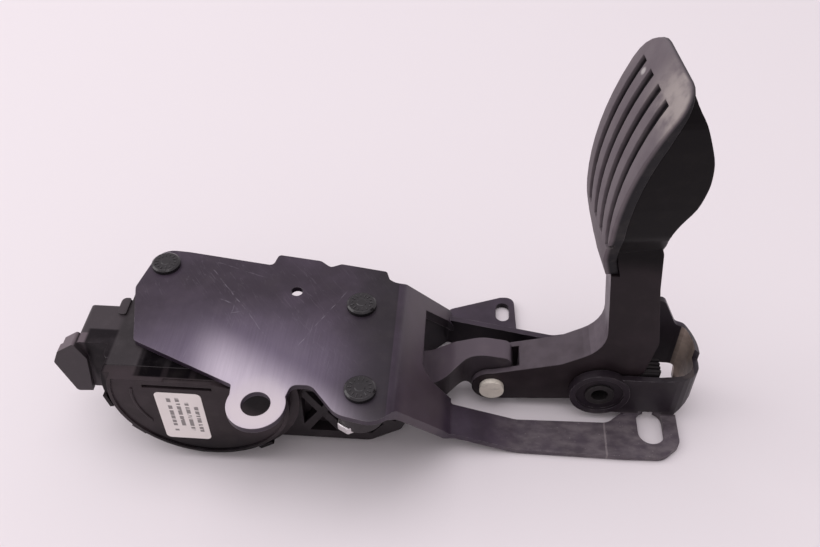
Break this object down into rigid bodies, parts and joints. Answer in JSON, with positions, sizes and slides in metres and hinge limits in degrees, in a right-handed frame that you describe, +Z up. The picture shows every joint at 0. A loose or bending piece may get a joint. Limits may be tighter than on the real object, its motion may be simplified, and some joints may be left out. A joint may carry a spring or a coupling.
{
  "type": "accelerator pedal",
  "caption": "Hanging accelerator pedal with a folded steel bracket, a moulded round position sensor housing, a linked lever and a ribbed pad.",
  "frame": {"origin": "centre of the open slot in the front foot, on the mounting plane", "axes": "+X from the sensor housing towards the pedal, +Y along the pedal pivot away from the front leg, +Z up, away from the mounting plane"},
  "size_m": [0.2616, 0.1182, 0.169],
  "materials": {
    "bracket_paint": "satin black paint, scratched",
    "dark_steel": "dark oxide",
    "stop_rubber": "matt",
    "housing_plastic": "satin moulded",
    "lid_plastic": "half gloss",
    "seal_rubber": "matt",
    "contact_metal": "bright",
    "board_laminate": "satin",
    "bright_steel": "plated",
    "spring_steel": "drawn wire",
    "screw_steel": "dark coating",
    "arm_plastic": "satin, dusty",
    "pad_rubber": "matt, worn",
    "bush_plastic": "smooth",
    "pin_steel": "worn plate",
    "lever_plastic": "satin",
    "magnet_ferrite": "sintered"
  },
  "bodies": {
    "frame": {"bracket": "bracket_paint", "pivot_tube": "dark_steel", "housing_body": "housing_plastic", "housing_lid": "lid_plastic", "lid_seal": "seal_rubber", "connector_pins": "contact_metal", "circuit_board": "board_laminate", "spring_plate": "bright_steel", "hub_shaft": "bright_steel", "outer_spring": "spring_steel", "inner_spring": "spring_steel", "screw_rear_left": "screw_steel", "screw_rear_right": "screw_steel", "screw_front": "screw_steel", "front_nut": "bright_steel"},
    "pedal": {"pedal_arm": "arm_plastic", "pad_cover": "pad_rubber", "stop_bumper": "stop_rubber", "pivot_bush_near": "bush_plastic", "pivot_bush_far": "bush_plastic", "link_pin": "pin_steel", "link_clip": "spring_steel"},
    "lever": {"sensor_lever": "lever_plastic", "hub_bush_near": "bush_plastic", "hub_bush_far": "bush_plastic", "lever_magnet": "magnet_ferrite"}
  },
  "joints": [
    {"name": "pedal_pivot", "type": "hinge", "parent": "frame", "child": "pedal", "pos_m": [-0.023, 0.0208, 0.016], "axis": [0, 1, 0], "range_deg": [0, 17], "stiffness_Nm_per_rad": 1.5, "springref_deg": -17.19},
    {"name": "lever_turn", "type": "hinge", "parent": "frame", "child": "lever", "pos_m": [-0.178, 0.0165, 0.026], "axis": [0, 1, 0], "range_deg": [-7.5, 0]}
  ],
  "couplings": [
    {"joint": "lever_turn", "follows": "pedal_pivot", "ratio": -0.4065}
  ]
}
